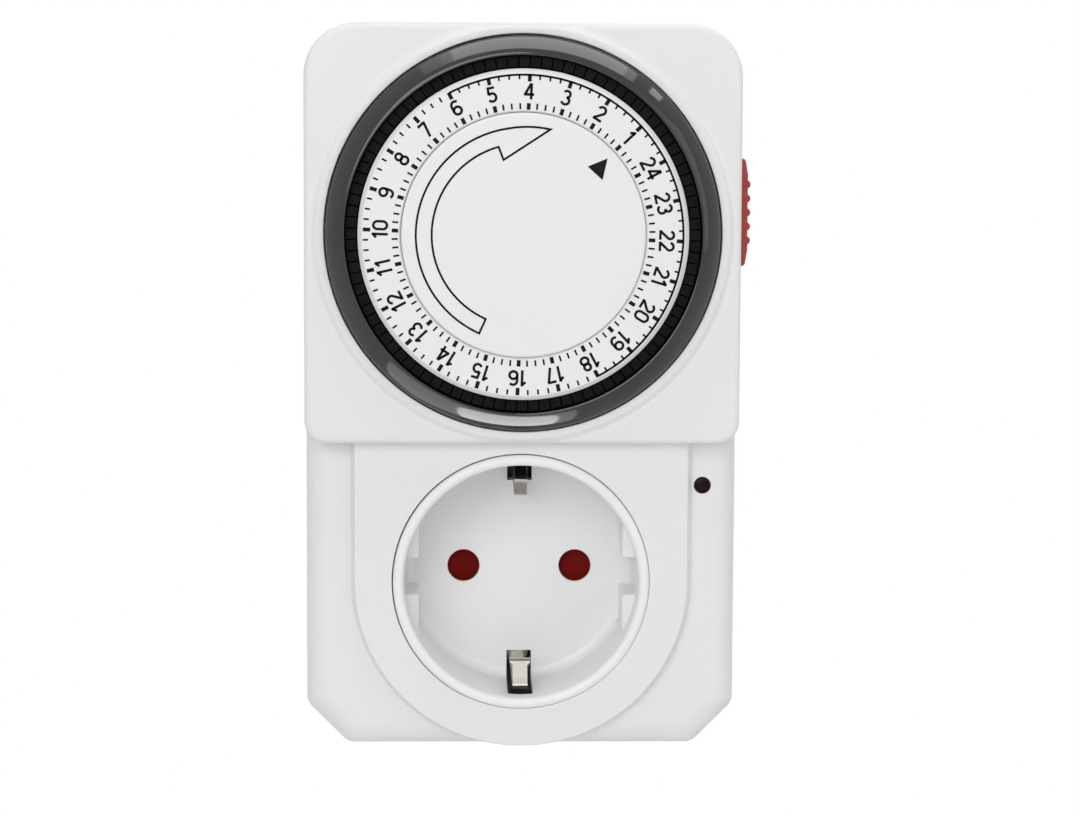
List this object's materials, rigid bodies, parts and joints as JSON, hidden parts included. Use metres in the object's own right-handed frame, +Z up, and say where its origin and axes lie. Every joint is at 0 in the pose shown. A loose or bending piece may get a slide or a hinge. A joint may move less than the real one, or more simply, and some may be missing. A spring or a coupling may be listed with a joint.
{
  "type": "plug-in timer switch",
  "caption": "Plug-in 24-hour timer switch: round plug behind, turning dial with push-in tappets, side override slider, indicator and earthed socket below.",
  "frame": {"origin": "middle of the plug face, between the two pins, in the plane that seats in a wall socket", "axes": "+X to the right as the user faces the dial, +Y into the wall along the plug pins, +Z up from the socket to the dial"},
  "size_m": [0.0741, 0.0837, 0.1203],
  "materials": {
    "cover_white": "satin",
    "insert_white": "smooth",
    "disc_white": "fine grain",
    "black_gloss": "polished",
    "black_matte": "matt",
    "slider_red": "satin",
    "shutter_red": "satin",
    "lens_red": "clear red",
    "gear_ivory": "moulded",
    "bakelite": "moulded",
    "brass": "bright",
    "copper": "enamelled copper wire",
    "nickel": "nickel plated",
    "steel": "zinc plated",
    "magnet": "sintered",
    "lamp_glass": "clear",
    "wire_cover": "wire insulation",
    "resistor_tan": "painted"
  },
  "bodies": {
    "housing": {"front_cover": "cover_white", "rear_cover": "cover_white", "plug_body": "cover_white", "cover_screws": "steel", "socket_insert": "insert_white", "shutter_spring": "steel", "shutter_retainer": "gear_ivory", "contact_live": "brass", "contact_neutral": "brass", "contact_carrier": "bakelite", "earth_strap": "nickel", "plug_earth_strap": "nickel", "earth_rivet": "steel", "plug_pin_live": "nickel", "plug_pin_neutral": "nickel", "pin_clamp": "bakelite", "clamp_screw": "steel", "dial_axle": "steel", "centre_disc": "disc_white", "motor_can": "steel", "motor_bobbin": "gear_ivory", "motor_winding": "copper", "motor_pole_plate": "steel", "gear_plate_front": "gear_ivory", "gear_plate_back": "gear_ivory", "plate_screws": "steel", "follower_pin": "steel", "switch_base": "bakelite", "blade_terminal": "brass", "fixed_contact": "brass", "busbar_live": "brass", "busbar_switched": "brass", "motor_leads": "wire_cover", "lamp_lens": "lens_red", "neon_lamp": "lamp_glass", "lamp_resistor": "resistor_tan", "lamp_leads": "steel"},
    "dial": {"dial_wheel": "black_matte", "scale_disc": "disc_white", "dial_ring": "black_gloss", "dial_gear": "gear_ivory", "tappets_idle": "black_matte"},
    "night_tappets": {"tappets_night": "black_matte"},
    "drive": {"drive_pinion": "steel", "clutch_spring": "steel"},
    "clutch": {"clutch_wheel": "gear_ivory"},
    "fourth": {"fourth_wheel": "gear_ivory"},
    "third": {"third_wheel": "gear_ivory"},
    "second": {"second_wheel": "gear_ivory"},
    "first": {"first_wheel": "gear_ivory"},
    "rotor": {"motor_rotor": "magnet"},
    "slider": {"override_slider": "slider_red"},
    "follower": {"follower_lever": "bakelite"},
    "blade": {"contact_blade": "brass"},
    "shutter": {"safety_shutter": "shutter_red"}
  },
  "joints": [
    {"name": "dial_spin", "type": "hinge", "parent": "housing", "child": "dial", "pos_m": [0, -0.06, 0.0581], "axis": [0, 1, 0], "continuous": true},
    {"name": "tappet_press", "type": "slide", "parent": "dial", "child": "night_tappets", "axis": [0, 1, 0], "range_m": [0, 0.0016]},
    {"name": "drive_pinion_spin", "type": "hinge", "parent": "housing", "child": "drive", "pos_m": [-0.01556, -0.05, 0.04254], "axis": [0, 1, 0], "continuous": true},
    {"name": "rotor_spin", "type": "hinge", "parent": "housing", "child": "rotor", "pos_m": [-0.01129, -0.032, 0.06575], "axis": [0, 1, 0], "continuous": true},
    {"name": "first_wheel_spin", "type": "hinge", "parent": "housing", "child": "first", "pos_m": [-0.00579, -0.042, 0.05622], "axis": [0, 1, 0], "continuous": true},
    {"name": "second_wheel_spin", "type": "hinge", "parent": "housing", "child": "second", "pos_m": [0.00483, -0.044, 0.05338], "axis": [0, 1, 0], "continuous": true},
    {"name": "third_wheel_spin", "type": "hinge", "parent": "housing", "child": "third", "pos_m": [0.00674, -0.046, 0.04254], "axis": [0, 1, 0], "continuous": true},
    {"name": "fourth_wheel_spin", "type": "hinge", "parent": "housing", "child": "fourth", "pos_m": [-0.00446, -0.048, 0.04254], "axis": [0, 1, 0], "continuous": true},
    {"name": "clutch_wheel_spin", "type": "hinge", "parent": "housing", "child": "clutch", "pos_m": [-0.01556, -0.0496, 0.04254], "axis": [0, 1, 0], "continuous": true},
    {"name": "override_slide", "type": "slide", "parent": "housing", "child": "slider", "axis": [0, 0, 1], "range_m": [0, 0.004]},
    {"name": "follower_swing", "type": "hinge", "parent": "housing", "child": "follower", "pos_m": [0.02014, -0.05, 0.05995], "axis": [-1, 0, 0], "range_deg": [0, 4.8]},
    {"name": "blade_flex", "type": "hinge", "parent": "housing", "child": "blade", "pos_m": [0.02014, -0.04745, 0.05685], "axis": [-1, 0, 0], "range_deg": [0, 3.4]},
    {"name": "shutter_turn", "type": "hinge", "parent": "housing", "child": "shutter", "pos_m": [0, -0.0366, 0], "axis": [0, 1, 0], "range_deg": [0, 40], "stiffness_Nm_per_rad": 0.001}
  ],
  "couplings": [
    {"joint": "drive_pinion_spin", "follows": "dial_spin", "ratio": 12},
    {"joint": "first_wheel_spin", "follows": "rotor_spin", "ratio": -0.1},
    {"joint": "second_wheel_spin", "follows": "rotor_spin", "ratio": 0.01},
    {"joint": "third_wheel_spin", "follows": "rotor_spin", "ratio": -0.001},
    {"joint": "fourth_wheel_spin", "follows": "rotor_spin", "ratio": 0.00016667},
    {"joint": "clutch_wheel_spin", "follows": "rotor_spin", "ratio": -0.000033333},
    {"joint": "follower_swing", "follows": "override_slide", "rad_per_m": 20.508},
    {"joint": "blade_flex", "follows": "override_slide", "rad_per_m": 14.355}
  ]
}
